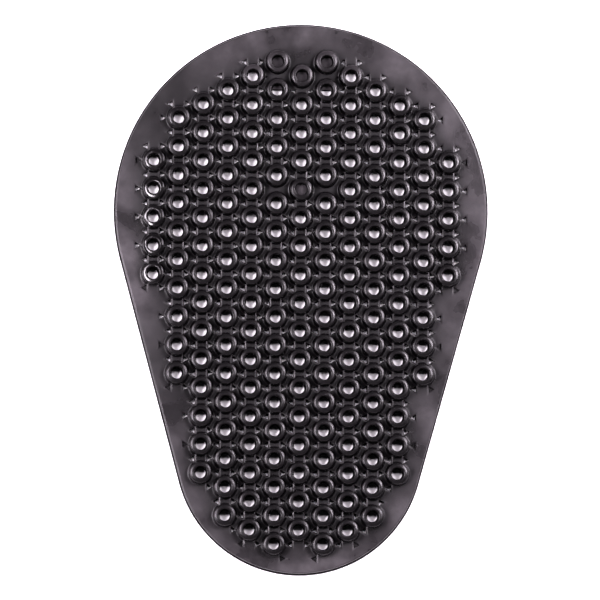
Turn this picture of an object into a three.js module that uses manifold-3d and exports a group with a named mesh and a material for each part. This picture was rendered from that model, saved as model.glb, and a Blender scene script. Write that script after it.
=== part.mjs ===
// Hip protector pad: one soft moulding that slips into the hip pocket of riding trousers.
// A flat web with an egg-shaped outline carries a hexagonal field of short tubes, open at both
// ends, which crush on a fall and let air through. The web runs on past the tubes as a flat rim.
//
// Frame: millimetres, the back of the pad lies on z = 0, the tubes point to +Z, the wide upper
// end is at +Y, and the origin is the middle of the pad's box on its back.
import * as THREE from "three";
import { mergeVertices } from "three/addons/utils/BufferGeometryUtils.js";
import Module from "manifold-3d";

// Driving dimensions of the outline: two round ends joined by straight sides.
const WIDE_END_RADIUS = 60.7;
const NARROW_END_RADIUS = 40.2;
const END_CENTRE_DISTANCE = 77.9;
const EDGE_CHAMFER = 0.8;

// Heights above the back.
const WEB_THICKNESS = 4;
const TUBE_TOP = 10.5;
const FLOOR_THICKNESS = 3.8;

// One tube: its outside narrows upwards, and its bore narrows a little downwards.
const TUBE_RADIUS_AT_BACK = 4;
const TUBE_RADIUS_AT_TOP = 3.5;
const BORE_RADIUS_AT_BACK = 1.66;
const BORE_RADIUS_AT_TOP = 2;

// The hexagonal lattice: tubes stand a pitch apart up each column, and odd columns sit half a
// pitch higher, so rows are counted in half pitches from the lattice's middle.
const TUBE_PITCH = 9.2;
const COLUMN_SPACING = TUBE_PITCH * Math.cos(Math.PI / 6);
const LATTICE_MIDDLE_Y = -1.2;

// The half-row of the top and of the bottom tube in each column right of the middle, which the
// columns on the left repeat.
const TUBE_COLUMNS = [
  { column: 0, topRow: 16, bottomRow: -16 },
  { column: 1, topRow: 17, bottomRow: -17 },
  { column: 2, topRow: 16, bottomRow: -16 },
  { column: 3, topRow: 15, bottomRow: -15 },
  { column: 4, topRow: 14, bottomRow: -12 },
  { column: 5, topRow: 13, bottomRow: -5 },
  { column: 6, topRow: 10, bottomRow: 2 },
];

// Two places where a floor closes the bores: a patch from the upper edge down to just above the
// middle of a row, and one tube in the middle of the field.
const PATCH_HALF_WIDTH = 13.2;
const PATCH_LOWEST_ROW = 15;
const PATCH_LIFT = 0.35;
const CLOSED_TUBE_ROW = 8;

// Facets.
const OUTLINE_SEGMENTS = 32;
const TUBE_SIDES = 8;
const BORE_SIDES = 6;
const CUT_OVERRUN = 1;

const wasm = await Module();
wasm.setup();

const padLength = WIDE_END_RADIUS + END_CENTRE_DISTANCE + NARROW_END_RADIUS;
const wideCentreY = padLength / 2 - WIDE_END_RADIUS;
const narrowCentreY = NARROW_END_RADIUS - padLength / 2;

// A closed three.js geometry as a solid that can be joined and cut.
function toSolid(geometry) {
  const bare = geometry.clone();
  bare.deleteAttribute("normal");
  bare.deleteAttribute("uv");
  const merged = mergeVertices(bare);
  return new wasm.Manifold(
    new wasm.Mesh({
      numProp: 3,
      vertProperties: merged.attributes.position.array,
      triVerts: new Uint32Array(merged.index.array),
    }),
  );
}

// A solid back as a three.js geometry.
function toGeometry(solid) {
  const { vertProperties, triVerts } = solid.getMesh();
  const geometry = new THREE.BufferGeometry();
  geometry.setAttribute("position", new THREE.BufferAttribute(vertProperties, 3));
  geometry.setIndex(new THREE.BufferAttribute(triVerts, 1));
  geometry.computeVertexNormals();
  return geometry;
}

function joinAll(geometries) {
  const solids = geometries.map(toSolid);
  return solids.reduce((joined, next) => joined.add(next));
}

// The egg: the straight sides touch each round end a little below its widest point.
function outlineShape() {
  const tilt = Math.asin((WIDE_END_RADIUS - NARROW_END_RADIUS) / END_CENTRE_DISTANCE);
  const shape = new THREE.Shape();
  shape.absarc(0, wideCentreY, WIDE_END_RADIUS, -tilt, Math.PI + tilt);
  shape.absarc(0, narrowCentreY, NARROW_END_RADIUS, Math.PI + tilt, 2 * Math.PI - tilt);
  return shape;
}

// The web and its rim, with both edges chamfered.
function webGeometry() {
  const web = new THREE.ExtrudeGeometry(outlineShape(), {
    curveSegments: OUTLINE_SEGMENTS,
    depth: WEB_THICKNESS - 2 * EDGE_CHAMFER,
    bevelThickness: EDGE_CHAMFER,
    bevelSize: EDGE_CHAMFER,
    bevelOffset: -EDGE_CHAMFER,
    bevelSegments: 1,
  });
  return web.translate(0, 0, EDGE_CHAMFER);
}

// A radius that changes evenly from the back of the pad to the top of the tubes.
function taper(radiusAtBack, radiusAtTop) {
  return (z) => THREE.MathUtils.mapLinear(z, 0, TUBE_TOP, radiusAtBack, radiusAtTop);
}

// A faceted cone between two heights, round the Z axis. Its corners lie far enough out for its
// sections to have the area of the circles that they stand for.
function coneGeometry(sides, radiusAt, lowZ, highZ) {
  const corner = (2 * Math.PI) / sides;
  const spread = Math.sqrt(corner / Math.sin(corner));
  const profile = [
    new THREE.Vector2(0, lowZ),
    new THREE.Vector2(spread * radiusAt(lowZ), lowZ),
    new THREE.Vector2(spread * radiusAt(highZ), highZ),
    new THREE.Vector2(0, highZ),
  ];
  return new THREE.LatheGeometry(profile, sides).rotateX(Math.PI / 2);
}

// The tube grows out of the web, so it starts inside it.
function tubeGeometry() {
  const radiusAt = taper(TUBE_RADIUS_AT_BACK, TUBE_RADIUS_AT_TOP);
  return coneGeometry(TUBE_SIDES, radiusAt, WEB_THICKNESS / 2, TUBE_TOP);
}

// The bore's cutter runs past both ends of the tube.
function boreGeometry() {
  const radiusAt = taper(BORE_RADIUS_AT_BACK, BORE_RADIUS_AT_TOP);
  return coneGeometry(BORE_SIDES, radiusAt, -CUT_OVERRUN, TUBE_TOP + CUT_OVERRUN);
}

function rowY(row) {
  return LATTICE_MIDDLE_Y + (row * TUBE_PITCH) / 2;
}

// The middle of each tube.
function tubePlaces() {
  const places = [];
  for (const { column, topRow, bottomRow } of TUBE_COLUMNS) {
    const sides = column === 0 ? [1] : [-1, 1];
    for (const side of sides) {
      for (let row = bottomRow; row <= topRow; row += 2) {
        places.push({ x: side * column * COLUMN_SPACING, y: rowY(row) });
      }
    }
  }
  return places;
}

// The floors that stay when the bores are cut.
function floorGeometries() {
  const depth = FLOOR_THICKNESS + CUT_OVERRUN;
  const middleZ = (FLOOR_THICKNESS - CUT_OVERRUN) / 2;
  const patchBottom = rowY(PATCH_LOWEST_ROW) + PATCH_LIFT;
  const patchHeight = padLength / 2 - patchBottom;
  const patch = new THREE.BoxGeometry(2 * PATCH_HALF_WIDTH, patchHeight, depth);
  patch.translate(0, patchBottom + patchHeight / 2, middleZ);
  const plug = new THREE.BoxGeometry(COLUMN_SPACING, TUBE_PITCH / 2, depth);
  plug.translate(0, rowY(CLOSED_TUBE_ROW), middleZ);
  return [patch, plug];
}

function padGeometry() {
  const places = tubePlaces();
  const copies = (geometry) => places.map(({ x, y }) => geometry.clone().translate(x, y, 0));
  const tubes = joinAll(copies(tubeGeometry()));
  const bores = joinAll(copies(boreGeometry()));
  const cuts = bores.subtract(joinAll(floorGeometries()));
  return toGeometry(toSolid(webGeometry()).add(tubes).subtract(cuts));
}

const blackRubber = new THREE.MeshStandardMaterial({
  color: 0x1c1b1d,
  roughness: 0.42,
  metalness: 0,
});

const hipProtector = new THREE.Group();
const pad = new THREE.Mesh(padGeometry(), blackRubber);
pad.name = "pad";
hipProtector.add(pad);

export default hipProtector;
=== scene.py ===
# %% [markdown]
# A moulded hip protector
#
# The real object is one soft black moulding that slips into the hip pocket of riding trousers.
# A flat egg-shaped web carries a hexagonal field of short tubes, which crush on a fall and let
# air through. Small triangular vents pierce the web between the tubes.
#
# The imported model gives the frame: where the pad lies and how large it is. This script makes
# the piece that is seen, in the same place. Everything is modelled in millimetres, because cuts
# and bevels of a tenth of a millimetre are easier to read there, and shrunk to metres at the end.

# %% Load the frame
import math

import bmesh
import bpy
from mathutils import Matrix, Vector
from mathutils.kdtree import KDTree


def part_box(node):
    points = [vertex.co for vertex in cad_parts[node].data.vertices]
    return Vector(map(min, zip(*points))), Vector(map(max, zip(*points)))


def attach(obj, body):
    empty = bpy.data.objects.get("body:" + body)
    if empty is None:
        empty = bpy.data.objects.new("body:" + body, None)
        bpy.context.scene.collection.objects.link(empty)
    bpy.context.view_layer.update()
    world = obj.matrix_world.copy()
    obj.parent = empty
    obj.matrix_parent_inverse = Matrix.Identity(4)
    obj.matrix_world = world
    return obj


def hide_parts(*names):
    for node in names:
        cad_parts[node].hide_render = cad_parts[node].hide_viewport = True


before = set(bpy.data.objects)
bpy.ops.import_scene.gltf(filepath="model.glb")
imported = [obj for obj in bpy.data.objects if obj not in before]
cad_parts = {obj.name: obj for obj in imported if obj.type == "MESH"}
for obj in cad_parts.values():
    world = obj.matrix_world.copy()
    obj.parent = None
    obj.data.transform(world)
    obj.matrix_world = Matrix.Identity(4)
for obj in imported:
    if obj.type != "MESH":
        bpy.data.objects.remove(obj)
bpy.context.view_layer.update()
MILLIMETRES = 1000
pad_low, pad_high = (Vector(corner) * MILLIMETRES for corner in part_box("pad"))
pad_size = pad_high - pad_low
print("pad, in mm:", [round(side, 2) for side in pad_size])

# %% [markdown]
# The lattice
#
# The tubes stand on a hexagonal lattice: a pitch apart up each column, with odd columns half a
# pitch higher. Rows are counted in half pitches, so a place is a column and a row. The rows that
# a column fills are read off the photograph, because the field follows the outline only roughly.
# An array modifier could make a full lattice, but it could not leave the corners out.

# %% Places of the tubes
tube_pitch = 9.2
column_spacing = tube_pitch * math.cos(math.radians(30))
lattice_middle_y = -1.2
bottom_and_top_row = {
    0: (-16, 16),
    1: (-17, 17),
    2: (-16, 16),
    3: (-15, 15),
    4: (-12, 14),
    5: (-5, 13),
    6: (2, 10),
}
outer_column = max(bottom_and_top_row)


def lattice_place(column, row):
    return Vector((column * column_spacing, lattice_middle_y + row * tube_pitch / 2, 0))


def rows_of(column):
    """The rows of a column's tubes. The columns on the left repeat those on the right."""
    bottom, top = bottom_and_top_row[abs(column)]
    return range(bottom, top + 1, 2)


tube_places = [
    lattice_place(column, row)
    for column in range(-outer_column, outer_column + 1)
    for row in rows_of(column)
]
print(len(tube_places), "tubes")

# %% [markdown]
# Helpers for closed shapes
#
# Each shape starts as a bmesh and becomes an object once. The same tube or cutter is needed at
# many places, so one template mesh is poured into a bmesh again and again and slid to its place.
# Instances would be lighter, but the pad is one moulding, and a boolean needs real faces.

# %% Make, repeat and combine shapes
def as_object(shape, name):
    bmesh.ops.recalc_face_normals(shape, faces=shape.faces)
    print(name, "open edges:", sum(not edge.is_manifold for edge in shape.edges))
    mesh = bpy.data.meshes.new(name)
    shape.to_mesh(mesh)
    shape.free()
    made = bpy.data.objects.new(name, mesh)
    bpy.context.scene.collection.objects.link(made)
    return made


def pour(template, place, field):
    """Adds a copy of the template object to a bmesh, slid to its place."""
    copy = template.data.copy()
    copy.transform(Matrix.Translation(place))
    field.from_mesh(copy)
    bpy.data.meshes.remove(copy)


def repeat(template, places, name):
    """A copy of the template object at each place, in one object. The template is removed."""
    field = bmesh.new()
    for place in places:
        pour(template, place, field)
    bpy.data.objects.remove(template)
    return as_object(field, name)


def step_note(piece):
    piece.data.calc_loop_triangles()
    return f"{len(piece.data.loop_triangles)} triangles"


def combine(target, tool, operation):
    """Cuts the tool out of the target, or joins it on, and removes the tool."""
    step = target.modifiers.new(tool.name, "BOOLEAN")
    step.operation = operation
    step.solver = "MANIFOLD"
    step.object = tool
    evaluated = target.evaluated_get(bpy.context.evaluated_depsgraph_get())
    result = bpy.data.meshes.new_from_object(evaluated)
    target.modifiers.clear()
    target.data = result
    bpy.data.objects.remove(tool)
    print(operation.lower(), step_note(target))


def raise_faces(shape, faces, height, leave_floor=False):
    """Extrudes faces straight up and returns the new top. The first time, the floor stays."""
    grown = bmesh.ops.extrude_face_region(shape, geom=faces)["geom"]
    if not leave_floor:
        bmesh.ops.delete(shape, geom=faces, context="FACES_ONLY")
    top_verts = [part for part in grown if isinstance(part, bmesh.types.BMVert)]
    bmesh.ops.translate(shape, vec=(0, 0, height), verts=top_verts)
    return [part for part in grown if isinstance(part, bmesh.types.BMFace)]


def round_edges(shape, edges, radius, segments):
    bmesh.ops.bevel(
        shape,
        geom=edges,
        offset=radius,
        offset_type="OFFSET",
        segments=segments,
        profile=0.5,
        affect="EDGES",
        material=-1,
    )


def edges_at(shape, height):
    """The edges that lie level at one height."""
    near = 1e-4
    return [
        edge
        for edge in shape.edges
        if all(abs(vert.co.z - height) < near for vert in edge.verts)
    ]


# %% [markdown]
# The web and its rim
#
# The outline is two round ends joined by straight sides that touch both. A circle is enough to
# start from: its upper points go to the wide end and its lower points to the narrow one, and the
# long edge left between them is the straight side. A curve could draw the outline too, but a
# filled circle can be extruded, inset and beveled at once. The mould parts a little above the
# back, which leaves a thin ledge all round, and the front edge above the ledge is rounded.

# %% Web
wide_radius = pad_size.x / 2
narrow_radius = 40.2
wide_centre = Vector((0, pad_high.y - wide_radius, 0))
narrow_centre = Vector((0, pad_low.y + narrow_radius, 0))
end_distance = wide_centre.y - narrow_centre.y
side_tilt = math.asin((wide_radius - narrow_radius) / end_distance)

web_thickness = 4.0
ledge_height = 1.3
ledge_width = 0.55
front_edge_radius, front_edge_steps = 0.5, 5
back_edge_radius, back_edge_steps = 0.3, 2
outline_segments = 288


def web_shape():
    shape = bmesh.new()
    bmesh.ops.create_circle(shape, cap_ends=True, segments=outline_segments, radius=1)
    ends = {"wide": [], "narrow": []}
    for vert in shape.verts:
        end = "wide" if vert.co.y > -math.sin(side_tilt) else "narrow"
        ends[end].append(vert)
    for end, radius, centre in (
        ("wide", wide_radius, wide_centre),
        ("narrow", narrow_radius, narrow_centre),
    ):
        bmesh.ops.scale(shape, vec=(radius, radius, 1), verts=ends[end])
        bmesh.ops.translate(shape, vec=centre, verts=ends[end])
    top = raise_faces(shape, shape.faces[:], ledge_height, leave_floor=True)
    bmesh.ops.inset_region(shape, faces=top, thickness=ledge_width, use_even_offset=True)
    raise_faces(shape, top, web_thickness - ledge_height)
    round_edges(shape, edges_at(shape, web_thickness), front_edge_radius, front_edge_steps)
    round_edges(shape, edges_at(shape, 0), back_edge_radius, back_edge_steps)
    return shape


pad = as_object(web_shape(), "pad_moulding")
print("web:", step_note(pad))

# %% [markdown]
# The collars
#
# Where a tube grows out of the web, the mould leaves a low collar: a very flat cone with a small
# fillet against the tube. It is seen only on the ribs, because the vents cut it away between them.
# So the collars go on first, as low spun rings, and the vents are cut through both. A bevel on the
# finished joint could make the fillet too, but it would have to find its way round every vent.

# %% Collars
tube_top = pad_high.z
tube_radius_at_back = 4.0
tube_radius_at_top = 3.5
bore_radius_at_back = 1.66
bore_radius_at_top = 2.0
round_steps = 24
collar_width = 0.5
collar_cone_height = 0.05
collar_fillet = 0.12


def between(at_back, at_top, height):
    return at_back + (at_top - at_back) * height / tube_top


def spun(profile):
    """Turns a closed profile of (radius, height) points into a ring."""
    shape = bmesh.new()
    corners = [shape.verts.new((radius, 0, height)) for radius, height in profile]
    edges = [shape.edges.new(pair) for pair in zip(corners, corners[1:] + corners[:1])]
    bmesh.ops.spin(
        shape,
        geom=corners + edges,
        cent=(0, 0, 0),
        axis=(0, 0, 1),
        angle=math.tau,
        steps=round_steps,
        use_merge=True,
    )
    return shape


def collar_profile():
    wall = between(tube_radius_at_back, tube_radius_at_top, web_thickness)
    buried = web_thickness - collar_cone_height
    return [
        (wall - collar_width, buried),
        (wall + collar_width, buried),
        (wall + collar_width, web_thickness),
        (wall + collar_fillet, web_thickness + collar_cone_height),
        (wall, web_thickness + collar_cone_height + collar_fillet),
        (wall - collar_width, web_thickness + collar_cone_height + collar_fillet),
    ]


collar = as_object(spun(collar_profile()), "collar")
combine(pad, repeat(collar, tube_places, "collars"), "UNION")

# %% [markdown]
# The vents
#
# A vent sits in the middle of each three neighbouring tubes: a narrow triangular hole whose
# corners point at the tubes. Seen from a tube, six of them lie round it, and most are met again
# from two other tubes, so they are collected by their place. Those close to the edge of the pad
# are only shallow pits, and the bar beside the closed tube has none.

# %% Places of the vents
vent_reach = tube_pitch / math.sqrt(3)
open_vent_inset = 5.9
pit_inset = 4.5
closed_bar_column, closed_bar_row = 2, 8


def inset_from_edge(place):
    """How far inside the outline a place lies."""
    across = abs(place.x)
    along = place.y - narrow_centre.y
    lean = (narrow_radius - wide_radius) / end_distance
    upright = math.sqrt(1 - lean * lean)
    turn = -lean * across + upright * along
    if turn < 0:
        return narrow_radius - math.hypot(across, along)
    if turn > upright * end_distance:
        return wide_radius - math.hypot(across, along - end_distance)
    return narrow_radius - upright * across - lean * along


def on_closed_bar(place):
    """Whether a place lies on the bar, which stops half a column short of the tubes at its ends."""
    bar_end = lattice_place(closed_bar_column, closed_bar_row)
    level = abs(place.y - bar_end.y) < tube_pitch / 4
    return level and abs(place.x) < bar_end.x - column_spacing / 2


vents = {}
for tube in tube_places:
    for sixth in range(6):
        angle = sixth * math.pi / 3
        place = tube + vent_reach * Vector((math.cos(angle), math.sin(angle), 0))
        if inset_from_edge(place) < pit_inset or on_closed_bar(place):
            continue
        key = (round(place.x, 2), round(place.y, 2))
        points_left = sixth % 2 == 0
        shallow = inset_from_edge(place) < open_vent_inset
        vents[key] = (place, points_left, shallow)
print(len(vents), "vents,", sum(shallow for place, points_left, shallow in vents.values()), "shallow")

# %% [markdown]
# A vent's cutter starts as a circle of three points, which is a triangle. Its top is raised from
# level to level and scaled each time: slowly through the web, then quickly in the rounding and the
# flat chamfer along its edge, which catches the light beside every vent. It points left or right.
# All the cutters are gathered in one mesh, because one cut is far quicker than hundreds.

# %% Vent cutters
vent_inradius_at_back = 0.52
vent_inradius_at_top = 0.54
chamfer_width = 0.6
chamfer_depth = 0.062
edge_rounding = 0.2
rounding_turns = (0, 40, 78)
cut_overrun = 1.0
pit_depth = 1.2


def vent_levels(lowest):
    """Heights from the lowest one up, and the triangle's inradius at each."""
    growth = (vent_inradius_at_top - vent_inradius_at_back) / web_thickness
    foot = web_thickness - chamfer_depth - edge_rounding
    levels = [(lowest, 0)]
    for turn in (math.radians(turn) for turn in rounding_turns):
        levels.append((foot + edge_rounding * math.sin(turn), edge_rounding * (1 - math.cos(turn))))
    levels.append((web_thickness, chamfer_width))
    levels.append((web_thickness + cut_overrun, chamfer_width))
    return [(height, vent_inradius_at_back + growth * height + back) for height, back in levels]


def vent_shape(points_left, shallow):
    levels = vent_levels(web_thickness - pit_depth if shallow else -cut_overrun)
    below, inradius = levels[0]
    quarter_turn = Matrix.Rotation(math.radians(90 if points_left else -90), 4, "Z")
    start = Matrix.Translation((0, 0, below)) @ quarter_turn
    shape = bmesh.new()
    bmesh.ops.create_circle(shape, cap_ends=True, segments=3, radius=2 * inradius, matrix=start)
    top = shape.faces[:]
    for height, wider in levels[1:]:
        top = raise_faces(shape, top, height - below, leave_floor=below == levels[0][0])
        bmesh.ops.scale(shape, vec=(wider / inradius, wider / inradius, 1), verts=top[0].verts)
        below, inradius = height, wider
    return shape


vent_kinds = {
    (points_left, shallow): as_object(vent_shape(points_left, shallow), "vent")
    for points_left in (False, True)
    for shallow in (False, True)
}
vent_field = bmesh.new()
for place, points_left, shallow in vents.values():
    pour(vent_kinds[points_left, shallow], place, vent_field)
for template in vent_kinds.values():
    bpy.data.objects.remove(template)
vent_cutter = as_object(vent_field, "vent_cutters")
print("vent cutters:", step_note(vent_cutter))

# %% [markdown]
# A closed patch under the middle of the upper edge stops the vents: none is cut behind its edge,
# and those that straddle the edge are cut off straight. So the patch is taken out of the cutters.

# %% Patch
def block(low, high, name):
    shape = bmesh.new()
    bmesh.ops.create_cube(shape, size=1)
    size = high - low
    bmesh.ops.scale(shape, vec=size, verts=shape.verts)
    bmesh.ops.translate(shape, vec=low + size / 2, verts=shape.verts)
    return as_object(shape, name)


patch_lowest_row = 15
patch_lift = 0.35
patch_bottom = lattice_place(0, patch_lowest_row).y + patch_lift
patch_shoulder = lattice_place(0, patch_lowest_row + 1).y
patch_half_width = 12.8
patch_neck_half_width = 11.2
patch_overlap = tube_pitch / 8


def patch_blocks(floor_top):
    """The patch, narrower at its foot, from under the back up to a height."""
    low_z = -2 * cut_overrun
    foot = block(
        Vector((-patch_neck_half_width, patch_bottom, low_z)),
        Vector((patch_neck_half_width, patch_shoulder + patch_overlap, floor_top)),
        "patch_foot",
    )
    body = block(
        Vector((-patch_half_width, patch_shoulder, low_z)),
        Vector((patch_half_width, pad_high.y, floor_top)),
        "patch_body",
    )
    return foot, body


for part in patch_blocks(web_thickness + 2 * cut_overrun):
    combine(vent_cutter, part, "DIFFERENCE")
combine(pad, vent_cutter, "DIFFERENCE")

# %% [markdown]
# The bores
#
# The web is drilled wider than the bores first, and the tubes that are set in next bring their
# own tapered bore. Bores cut through web and tubes at once would do too, but then the lips would
# be harder to round. Under the patch a floor stays, so the tubes there are blind, and the patch's
# edge leaves two tubes half closed.

# %% Drill the web
drill_radius = 2.8
floor_thickness = 3.8


def drill_shape():
    shape = bmesh.new()
    bmesh.ops.create_cone(
        shape,
        cap_ends=True,
        segments=round_steps,
        radius1=drill_radius,
        radius2=drill_radius,
        depth=web_thickness + 4 * cut_overrun,
    )
    bmesh.ops.translate(shape, vec=(0, 0, web_thickness / 2), verts=shape.verts)
    return shape


drills = repeat(as_object(drill_shape(), "drill"), tube_places, "drills")
for part in patch_blocks(floor_thickness):
    combine(drills, part, "DIFFERENCE")
combine(pad, drills, "DIFFERENCE")

# %% [markdown]
# The tubes
#
# A tube is turned: its closed section is spun round its axis. The lip is a low dome that falls
# outwards in three steps, each steeper than the one before, with a small rounding at the bore and
# at the outside, and that dome is what catches the side lights. The outside narrows upwards and the
# bore narrows downwards, as a mould needs to let go of it. A screw modifier could turn the section
# too, but the operator gives edges that can be beveled at once.

# %% Tubes
inner_lip_rounding, inner_lip_steps = 0.3, 3
outer_lip_rounding, outer_lip_steps = 0.2, 2
# Each step of the lip has a width and an angle by which it falls.
crest_steps = ((0.6, 1), (0.45, 6), (0.45, 12))


def crest_points():
    """The lip's section from the bore outwards, falling by a larger angle at each step."""
    radius, height = bore_radius_at_top, tube_top
    points = [(radius, height)]
    for width, fall in crest_steps:
        radius += width
        height -= width * math.tan(math.radians(fall))
        points.append((radius, height))
    return points


def ring_edges(shape, radius, height):
    """The edges of one circle of a spun shape."""
    near = 1e-3
    return [
        edge
        for edge in edges_at(shape, height)
        if all(abs(vert.co.xy.length - radius) < near for vert in edge.verts)
    ]


def tube_shape():
    crest = crest_points()
    feet = [(bore_radius_at_back, 0), (tube_radius_at_back, 0)]
    shape = spun(feet + crest[::-1])
    bmesh.ops.recalc_face_normals(shape, faces=shape.faces)
    round_edges(shape, ring_edges(shape, *crest[0]), inner_lip_rounding, inner_lip_steps)
    round_edges(shape, ring_edges(shape, *crest[-1]), outer_lip_rounding, outer_lip_steps)
    return shape


tube = as_object(tube_shape(), "tube")
print("one tube:", step_note(tube))
combine(pad, repeat(tube, tube_places, "tubes"), "UNION")

# %% [markdown]
# The blind tube in the middle of the bar has a floor high up in its bore: a short plug.

# %% Plug
plug_floor_top = 6.0


def plug_shape():
    shape = bmesh.new()
    plug_radius = (bore_radius_at_top + tube_radius_at_top) / 2
    bmesh.ops.create_cone(
        shape,
        cap_ends=True,
        segments=round_steps,
        radius1=plug_radius,
        radius2=plug_radius,
        depth=plug_floor_top,
    )
    place = lattice_place(0, closed_bar_row) + Vector((0, 0, plug_floor_top / 2))
    bmesh.ops.translate(shape, vec=place, verts=shape.verts)
    return shape


combine(pad, as_object(plug_shape(), "plug"), "UNION")

# %% [markdown]
# Mould marks
#
# Two pins that push the moulding out of its mould leave a small ring each on the upper rim. A ring
# with a rectangular section, sunk into the web, cuts both.

# %% Pin marks
pin_places = [Vector((-11.5, 86.8, 0)), Vector((11.0, 86.8, 0))]
pin_radius = 0.45
pin_line = 0.25
pin_depth = 0.4
pin_top = web_thickness + cut_overrun
pin_section = [
    (pin_radius - pin_line, web_thickness - pin_depth),
    (pin_radius, web_thickness - pin_depth),
    (pin_radius, pin_top),
    (pin_radius - pin_line, pin_top),
]
pin_mark = as_object(spun(pin_section), "pin_mark")
combine(pad, repeat(pin_mark, pin_places, "pin_marks"), "DIFFERENCE")

# %% [markdown]
# Shrink to metres and shade
#
# The booleans leave flat faces next to fillets of a few strips. Smooth shading alone would bend
# the light across the big flat faces, so edges over a set angle are marked sharp, and a weighted
# normal modifier lets the large faces keep their own direction. The chamfers round the vents are
# far flatter than that angle, but their outer edges are crisp on the real pad. Those edges all
# have one angle, which follows from the cutter, so they are found by it and marked sharp as well.

# %% Shade the mesh
sharp_angle = math.radians(40)
pad.data.transform(Matrix.Scale(1 / MILLIMETRES, 4))
pad.data.shade_smooth()
pad.data.set_sharp_from_angle(angle=sharp_angle)
(rounding_top, rounding_inradius), (chamfer_top, chamfer_inradius) = vent_levels(0)[-3:-1]
chamfer_slope = math.atan2(chamfer_top - rounding_top, chamfer_inradius - rounding_inradius)
slope_tolerance = math.radians(0.4)


def sharpen_chamfers():
    """Marks the straight edges between the flat web and the chamfers round its vents as sharp."""
    shape = bmesh.new()
    shape.from_mesh(pad.data)
    creases = [
        edge
        for edge in shape.edges
        if abs(edge.calc_face_angle(0) - chamfer_slope) < slope_tolerance
    ]
    for edge in creases:
        edge.smooth = False
    print(len(creases), "chamfer edges at", round(math.degrees(chamfer_slope), 2), "degrees")
    shape.to_mesh(pad.data)
    shape.free()


sharpen_chamfers()
flat_faces_first = pad.modifiers.new("flat_faces_first", "WEIGHTED_NORMAL")
flat_faces_first.keep_sharp = True
print("pad:", step_note(pad))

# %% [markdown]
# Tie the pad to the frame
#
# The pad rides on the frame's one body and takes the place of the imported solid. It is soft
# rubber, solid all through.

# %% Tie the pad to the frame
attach(pad, "root")
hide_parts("pad")
print(pad.name, "is tied to the frame")

# %% [markdown]
# Mark the bores
#
# The pins that leave the bores in the mould are rough, so the bores are dull while the front is
# glossy, and the floors of the blind ones are greyed. A shader can't tell a bore from a lip by
# its height alone. A second material could do it, but then every pattern would be set up twice. So
# each face gets two numbers of its own: one is 1 on a bore's wall, the other is 1 on a bore's
# floor, and both are 0 elsewhere. A tree of the tubes' middles finds the nearest tube.

# %% Bore attributes
bore_margin = 0.05
inside_bore = bore_radius_at_top + bore_margin
steepest_floor = 0.5
tube_tree = KDTree(len(tube_places))
for number, place in enumerate(tube_places):
    tube_tree.insert(place, number)
tube_tree.balance()


def beside_axis(vert):
    place = vert.co * MILLIMETRES
    nearest, number, distance = tube_tree.find((place.x, place.y, 0))
    return distance < inside_bore


in_bore = [beside_axis(vert) for vert in pad.data.vertices]


def mark_faces(name, belongs):
    mark = pad.data.attributes.new(name, "FLOAT", "FACE")
    for face in pad.data.polygons:
        inside = all(in_bore[index] for index in face.vertices)
        mark.data[face.index].value = inside and belongs(face.normal.z)
    print(name, "faces:", sum(entry.value > 0 for entry in mark.data))


mark_faces("bore_wall", lambda up: abs(up) <= steepest_floor)
mark_faces("bore_floor", lambda up: up > steepest_floor)

# %% [markdown]
# Nodes in short
#
# A material is a graph of nodes. Written out, each node takes several lines: one to add it, one
# for each input and one for each link. A small class does that in one line for a node, so that a
# pattern can be read like a formula.

# %% Nodes in short
class NodeGroup:
    """Adds nodes to a material and joins them, one line for each."""

    def __init__(self, material):
        material.use_nodes = True
        self.nodes = material.node_tree.nodes
        self.links = material.node_tree.links
        self.shader = self.nodes["Principled BSDF"]

    def feed(self, socket, value):
        if isinstance(value, bpy.types.NodeSocket):
            self.links.new(value, socket)
        else:
            socket.default_value = value

    def add(self, kind, settings=None, **inputs):
        node = self.nodes.new("ShaderNode" + kind)
        for name, value in (settings or {}).items():
            setattr(node, name, value)
        for name, value in inputs.items():
            self.feed(node.inputs[name.replace("_", " ")], value)
        return node

    def noise(self, place, size, detail):
        return self.add("TexNoise", Vector=place, Scale=1 / size, Detail=detail).outputs["Fac"]

    def span(self, value, start, stop, low, high, course="LINEAR"):
        """Maps a value between start and stop to a value between low and high."""
        ends = {"From_Min": start, "From_Max": stop, "To_Min": low, "To_Max": high}
        node = self.add("MapRange", {"interpolation_type": course}, Value=value, **ends)
        return node.outputs["Result"]

    def join(self, operation, first, second, kind="Math"):
        node = self.add(kind, {"operation": operation})
        for socket, value in zip(node.inputs, (first, second)):
            self.feed(socket, value)
        return node.outputs["Value"]

    def blend(self, factor, low, high):
        return self.add("Mix", {"data_type": "FLOAT"}, Factor=factor, A=low, B=high).outputs["Result"]

    def bump(self, height, under=None, distance=1):
        """Tilts the normal underneath by a height, which is given in units of the distance."""
        node = self.add("Bump", Height=height, Distance=distance)
        if under is not None:
            self.feed(node.inputs["Normal"], under)
        return node.outputs["Normal"]


# %% [markdown]
# Black rubber
#
# The elastomer is nearly black, and most of what is seen is the sheen of the lights on it. All its
# patterns are worked out from the object's own coordinates, so no picture is needed and nothing
# slides when the pad moves. They all ask the same few questions first: where a point lies, whether
# it is on the web or up on a lip, and whether it is in a bore.

# %% Where a point lies
rubber_material = bpy.data.materials.new("black_rubber")
rubber = NodeGroup(rubber_material)
position = rubber.add("TexCoord").outputs["Object"]
across, along, above = rubber.add("SeparateXYZ", Vector=position).outputs
web_top = web_thickness / MILLIMETRES
lip_start = 0.0075
on_web = rubber.span(above, web_top, lip_start, 1, 0)
on_bore_wall = rubber.add("Attribute", {"attribute_name": "bore_wall"}).outputs["Fac"]
on_bore_floor = rubber.add("Attribute", {"attribute_name": "bore_floor"}).outputs["Fac"]
print("web from", web_top, "m, lips from", lip_start, "m")
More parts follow.
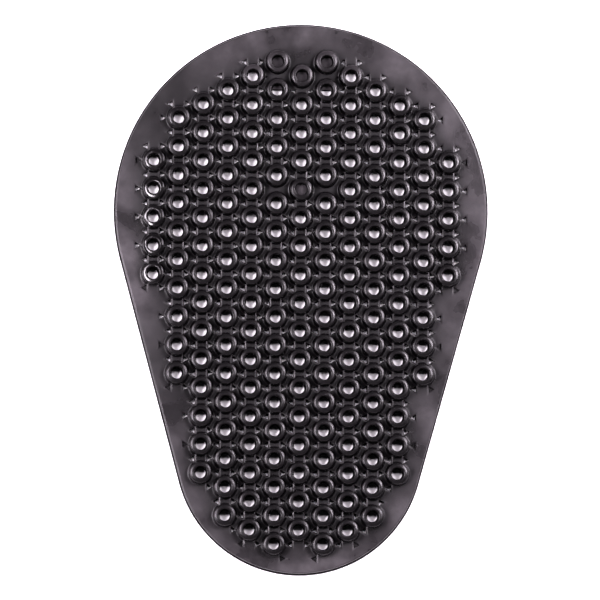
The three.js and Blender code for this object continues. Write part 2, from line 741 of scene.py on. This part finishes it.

# %% [markdown]
# Dust and painted shade
#
# Grey dust lies on the web, and how it spreads is painted shade as well: an ambient occlusion node
# thins it between the tubes, where little of the sky is seen, so the web is darker there and
# lighter where it lies open. Handling leaves the dust in clouds about a centimetre wide, a fine
# mottle runs through it, and a few places round the rim are made lighter or darker; one lighter
# place at the left edge is a painted highlight. The walls of the bores and the ledge stay clean.
# Each of these is a factor, and the grey is their product. It greys the lips near the upper end as
# well, and the floors of the blind bores are greyed too.

# %% Factors of the dust and the painted shade
shelter_reach = 0.008
shelter_samples = 8
sheltered_to_open = (0.6, 0.97)
cloud_size = 0.011
cloud_range, cloud_dust = (0.32, 0.68), (0.15, 0.65)
mottle_size = 0.0016
mottle_range, mottle_dust = (0.3, 0.7), (0.75, 1)
# A spot has a middle, the radius that it fills, the radius where it has faded out, and a factor.
dust_and_highlight_spots = (
    ((-0.044, 0.062, 0.004), 0.006, 0.034, 0.2),
    # This spot is a painted highlight on the rim at the left edge.
    ((-0.056, 0.009, 0.004), 0.005, 0.018, 2.2),
    ((-0.046, -0.020, 0.004), 0.006, 0.024, 0.4),
    ((0.058, 0.030, 0.004), 0.010, 0.045, 1.6),
    ((0.000, -0.080, 0.004), 0.010, 0.032, 1.5),
)

shelter = {"only_local": True, "samples": shelter_samples}
# Painted shade: the occlusion thins the grey between the tubes, so the web is darker there and
# lighter where it lies open.
sky = rubber.add("AmbientOcclusion", shelter, Distance=shelter_reach).outputs["AO"]
clouds = rubber.noise(position, cloud_size, detail=3)
mottle = rubber.noise(position, mottle_size, detail=2)
dust_and_shade_factors = [
    rubber.span(sky, *sheltered_to_open, 0, 1),
    rubber.span(clouds, *cloud_range, *cloud_dust),
    rubber.span(mottle, *mottle_range, *mottle_dust),
    rubber.span(on_bore_wall, 0, 1, 1, 0),
    rubber.span(above, ledge_height / MILLIMETRES, web_top, 0, 1),
]
for middle, filled, faded, factor in dust_and_highlight_spots:
    away = rubber.join("DISTANCE", position, middle, kind="VectorMath")
    dust_and_shade_factors.append(rubber.span(away, filled, faded, factor, 1, "SMOOTHSTEP"))
print(len(dust_and_shade_factors), "factors of the dust")

# %% Black, dust and painted shade
rubber_black = (0.0060, 0.0054, 0.0059, 1)
dust_and_light_grey = (0.072, 0.0666, 0.0708, 1)
dusty_lips = (0.068, 0.079)
lip_dust = 0.9
blind_floor_grey = 0.5

dust_and_shade = rubber.join("MAXIMUM", on_web, rubber.span(along, *dusty_lips, 0, lip_dust))
for factor in dust_and_shade_factors:
    dust_and_shade = rubber.join("MULTIPLY", dust_and_shade, factor)
# The floors of the blind bores get at least half of the grey.
dust_and_shade = rubber.join("MAXIMUM", dust_and_shade, rubber.span(on_bore_floor, 0, 1, 0, blind_floor_grey))
ramp = rubber.add("ValToRGB", Fac=dust_and_shade)
ramp.color_ramp.elements[0].color = rubber_black
ramp.color_ramp.elements[1].color = dust_and_light_grey
rubber.feed(rubber.shader.inputs["Base Color"], ramp.outputs["Color"])
print("rubber nodes up to its colour:", len(rubber.nodes))

# %% [markdown]
# Gloss
#
# The lips of the tubes come off a polished mould and stay glossy, most of all in the column at the
# left edge. The web is duller, and dullest where the clouds are thick. The bores are quite dull.
# Gloss is a roughness that changes over the surface, so it is blended by the same places.

# %% Gloss
lip_roughness = 0.24
left_lip_roughness = 0.17
web_roughness = (0.26, 0.40)
dull_cloud_range = (0.35, 0.7)
bore_roughness = 1.0
left_column_edge = -0.0438
edge_blend = 0.0005

left_column_ends = (left_column_edge - edge_blend, left_column_edge + edge_blend)
in_left_column = rubber.span(across, *left_column_ends, 1, 0)
lips = rubber.blend(in_left_column, lip_roughness, left_lip_roughness)
web = rubber.span(clouds, *dull_cloud_range, *web_roughness)
front = rubber.blend(on_web, lips, web)
rubber.feed(rubber.shader.inputs["Roughness"], rubber.blend(on_bore_wall, front, bore_roughness))
print("rubber nodes up to its gloss:", len(rubber.nodes))

# %% [markdown]
# Waves and grain
#
# Soft rubber is never quite flat. Long low waves bend its reflections and a fine grain breaks them
# up. The left edge leans out a little, so each lip of that column mirrors a lamp on one side, and
# waves of its own make no two of those crescents alike. A displaced mesh could show all this, but
# it would need many more triangles for slopes of a few degrees, so bump nodes do it, each on top of
# the one before.

# %% Waves and grain
lean_start = -0.060
lip_lean, rim_lean = 0.0014, 0.0003
lip_wave_size, lip_wave_height = 0.007, 0.0006
wave_size, wave_height = 0.022, 0.00035
grain_size, grain_height = 0.0005, 0.00001

lean = rubber.span(across, lean_start, left_column_edge, 0, 1, "SMOOTHSTEP")
lean = rubber.join("MULTIPLY", lean, rubber.blend(on_web, lip_lean, rim_lean))
lip_wave = rubber.join("MULTIPLY", rubber.noise(position, lip_wave_size, detail=1), lip_wave_height)
lip_wave = rubber.join("MULTIPLY", lip_wave, rubber.span(on_web, 0, 1, in_left_column, 0))
bumped = rubber.bump(lip_wave, rubber.bump(lean))
bumped = rubber.bump(rubber.noise(position, wave_size, detail=1), bumped, wave_height)
bumped = rubber.bump(rubber.noise(position, grain_size, detail=2), bumped, grain_height)
rubber.feed(rubber.shader.inputs["Normal"], bumped)
pad.data.materials.clear()
pad.data.materials.append(rubber_material)
print("rubber nodes in all:", len(rubber.nodes))

# %% [markdown]
# Floor
#
# The pad lies on plain white paper, which also shows through the bores and the vents. One large
# square is enough, and it is no part of the pad.

# %% Floor
floor_half_width = 3
paper_white = (0.9, 0.9, 0.9, 1)
paper_roughness = 0.9


def white_paper():
    material = bpy.data.materials.new("white_paper")
    material.use_nodes = True
    shader = material.node_tree.nodes["Principled BSDF"]
    shader.inputs["Base Color"].default_value = paper_white
    shader.inputs["Roughness"].default_value = paper_roughness
    return material


floor_shape = bmesh.new()
bmesh.ops.create_grid(floor_shape, x_segments=1, y_segments=1, size=floor_half_width)
floor = as_object(floor_shape, "floor")
floor.data.materials.append(white_paper())

# %% [markdown]
# Lamps
#
# What a glossy surface mirrors is how bright a lamp is at each point, its radiance, while Blender
# asks for its power. So a lamp is given by its radiance and its size, and the power follows. A lamp
# that hangs overhead is easiest to place by the angles at which the pad sees its two ends.

# %% Lamp helpers
lamp_tint = (1, 0.92, 1)


def soft_light(name, place, width, depth, radiance):
    """A rectangular lamp that faces the pad and is as bright all over as the radiance says."""
    lamp = bpy.data.lights.new(name, "AREA")
    lamp.shape = "RECTANGLE"
    lamp.size = width
    lamp.size_y = depth
    lamp.energy = radiance * math.pi * width * depth
    lamp.color = lamp_tint
    holder = bpy.data.objects.new(name, lamp)
    holder.location = place
    holder.rotation_euler = (-Vector(place)).to_track_quat("-Z", "Y").to_euler()
    bpy.context.scene.collection.objects.link(holder)
    print(name, round(lamp.energy, 2), "W")
    return holder


def overhead(name, height, near, far, lift, depth, radiance):
    """A strip at a height between two angles to the right, moved up the picture by a third one."""
    start, stop, up = (height * math.tan(math.radians(turn)) for turn in (near, far, lift))
    middle = (start + stop) / 2
    facing = math.cos(math.atan2(middle, height))
    width = abs(stop - start) * facing
    return soft_light(name, (middle, up, height), width, depth, radiance)


# %% [markdown]
# Strips and bars
#
# Two narrow strips hang on the left and on the right. They reach the ribs that run up and down
# between the tubes but not the slanting ones, which the tubes shade. A row of bars hangs higher up
# and nearly overhead. It lights the paper at the foot of the bores from a little above, so the
# upper part of each white disc is in shadow. The bars are kept out of reflections, because they
# would whiten the flat web.

# %% Strips and bars
strip_height = 1.15
bar_height = 1.65
bar_lift = 6.8
bar_depth = 0.072

overhead("strip_left", strip_height, near=-12, far=-29, lift=-1, depth=0.16, radiance=34)
overhead("strip_right", strip_height, near=13, far=23, lift=7, depth=0.14, radiance=42)
for name, near, far, radiance in (
    ("bar_left", -9, -18, 310),
    ("bar_middle", -9, 9, 80),
    ("bar_right", 9, 18, 215),
):
    bar = overhead(name, bar_height, near, far, bar_lift, bar_depth, radiance)
    bar.visible_glossy = False

# %% [markdown]
# Low lamps and fills
#
# Two low lamps give the lips and the rim their edges, and a third one brightens the rim at the
# upper right. Two wide faint fills keep the sides of the tubes from sinking into the black. One
# bright room could replace them all, but then every side of a tube would be lit alike.

# %% Low lamps and fills
soft_light("low_left", (-0.7, -0.1, 0.25), width=0.5, depth=0.4, radiance=6)
soft_light("low_right", (0.7, 0.15, 0.25), width=0.5, depth=0.4, radiance=2.5)
soft_light("upper_right", (0.62, 0.43, 0.65), width=0.35, depth=0.35, radiance=12)
soft_light("fill_above", (0, 1.1, 0.7), width=1.4, depth=0.7, radiance=0.7)
soft_light("fill_below", (0, -0.9, 1.0), width=1.0, depth=0.5, radiance=1.5)

# %% [markdown]
# Room and contrast
#
# The room itself is a dim even grey. The photograph is crisp, with pure white paper, so the picture
# is developed with a high contrast and without the soft shoulder that would grey the whites.

# %% Room and contrast
room_grey = (0.08, 0.08, 0.08, 1)
world = bpy.data.worlds.new("studio")
world.use_nodes = True
world.node_tree.nodes["Background"].inputs["Color"].default_value = room_grey
bpy.context.scene.world = world
bpy.context.scene.view_settings.view_transform = "Standard"
bpy.context.scene.view_settings.look = "High Contrast"
print("look:", bpy.context.scene.view_settings.look)

# %% [markdown]
# Camera
#
# The photograph was taken from far off, almost straight above, so the tubes hardly lean. A long
# lens on a distant camera does the same. The small lean shows in the discs, which sit a little
# below the middle of their rings.

# %% Camera
camera_distance = 4.0
camera_lean = Vector((-0.02, -0.04, 1)).normalized()
camera_roll = math.radians(0.45)
view_width = 0.1947
sensor_width = 36
lens = bpy.data.cameras.new("camera")
lens.sensor_width = sensor_width
lens.lens = sensor_width * camera_distance / view_width
camera = bpy.data.objects.new("camera", lens)
camera.location = camera_distance * camera_lean
right = Vector((0, 1, 0)).cross(camera_lean).normalized()
up = camera_lean.cross(right)
camera.rotation_euler = Matrix((right, up, camera_lean)).transposed().to_euler()
camera.rotation_euler.rotate_axis("Z", camera_roll)
bpy.context.scene.collection.objects.link(camera)
bpy.context.scene.camera = camera
print("lens:", round(lens.lens), "mm")
